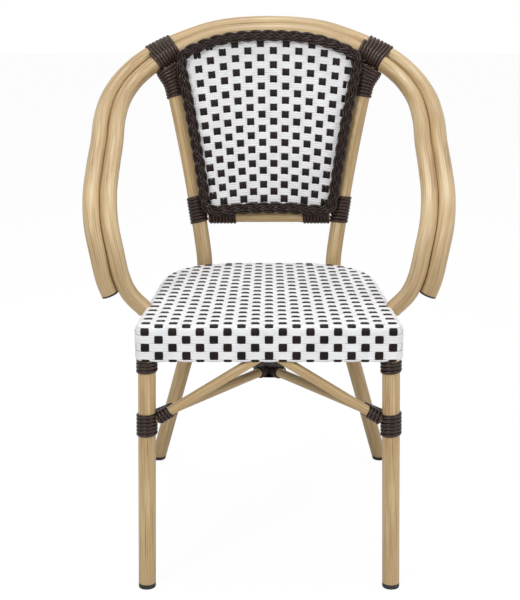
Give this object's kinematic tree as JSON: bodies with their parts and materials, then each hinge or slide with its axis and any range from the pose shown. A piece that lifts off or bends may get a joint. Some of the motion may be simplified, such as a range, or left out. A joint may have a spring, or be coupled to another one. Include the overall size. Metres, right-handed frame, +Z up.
{
  "type": "rattan bistro armchair",
  "caption": "Outdoor bistro armchair with a double hoop back running into the arms, splayed rear legs, a woven seat, a woven back panel with a braided edge, and lashed joints.",
  "frame": {"origin": "on the floor, under the middle of the whole chair's bounding box", "axes": "+Z up, +Y towards the back, so the chair faces -Y; +X is at the right of the front view, and the node names' left and right are as seen in that front view"},
  "size_m": [0.624, 0.6012, 0.901],
  "materials": {
    "cane_tube": "aluminium tube with a baked bamboo print, satin, tan with darker lengthwise streaks",
    "bare_tube": "plain aluminium tube and rod, hidden in the weave",
    "glide": "black moulded plastic",
    "strand": "dark brown synthetic strand, glossy",
    "weave": "woven synthetic strand, white weft over dark brown warp, satin"
  },
  "bodies": {
    "root": {"front_leg_left": "cane_tube", "front_leg_right": "cane_tube", "front_glide_left": "glide", "front_glide_right": "glide", "rear_upright_left": "cane_tube", "rear_upright_right": "cane_tube", "rear_glide_left": "glide", "rear_glide_right": "glide", "inner_hoop": "cane_tube", "outer_hoop": "cane_tube", "arm_plug_left": "glide", "arm_plug_right": "glide", "seat_front_rail_upper": "bare_tube", "seat_front_rail_lower": "bare_tube", "seat_rear_rail_upper": "bare_tube", "seat_rear_rail_lower": "bare_tube", "seat_cross_bar_1": "bare_tube", "seat_cross_bar_2": "bare_tube", "seat_weave": "weave", "back_cross_rail": "cane_tube", "back_frame_rod": "bare_tube", "back_weave": "weave", "back_braid": "strand", "front_brace_left": "cane_tube", "front_brace_right": "cane_tube", "brace_lashing_left": "strand", "brace_lashing_right": "strand", "stretcher_through": "cane_tube", "stretcher_front_half": "cane_tube", "stretcher_rear_half": "cane_tube", "stretcher_lashing_left": "strand", "stretcher_lashing_right": "strand", "crossing_lashing": "strand", "leg_top_lashing_left": "strand", "leg_top_lashing_right": "strand", "leg_brace_lashing_left": "strand", "leg_brace_lashing_right": "strand", "upright_low_lashing_left": "strand", "upright_low_lashing_right": "strand", "upright_top_lashing_left": "strand", "upright_top_lashing_right": "strand", "cross_rail_lashing_left": "strand", "cross_rail_lashing_right": "strand", "hoop_lashing_left": "strand", "hoop_lashing_right": "strand"}
  },
  "joints": []
}
